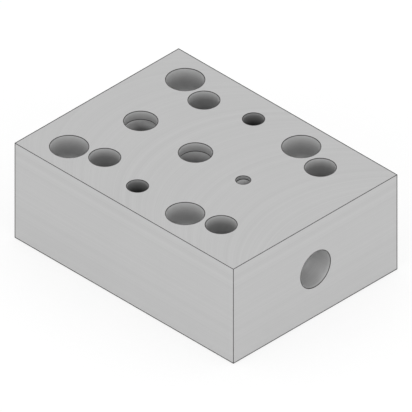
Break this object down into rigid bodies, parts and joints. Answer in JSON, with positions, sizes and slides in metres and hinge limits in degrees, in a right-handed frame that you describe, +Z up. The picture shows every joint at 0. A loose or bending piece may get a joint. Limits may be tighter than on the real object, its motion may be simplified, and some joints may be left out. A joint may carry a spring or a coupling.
{
  "type": "relief valve adapter",
  "caption": "Rectangular machined adapter block that seats a relief valve on top, bolts down on a directional valve subplate and brings the vent port out at one end.",
  "frame": {"origin": "centre of the underside", "axes": "+X along the length towards the end face with the vent port, +Z up towards the relief valve"},
  "size_m": [0.1016, 0.0762, 0.0381],
  "materials": {
    "machined_metal": "fine milled, matt, with small broken edges"
  },
  "bodies": {
    "root": {"adapter_block": "machined_metal"}
  },
  "joints": []
}
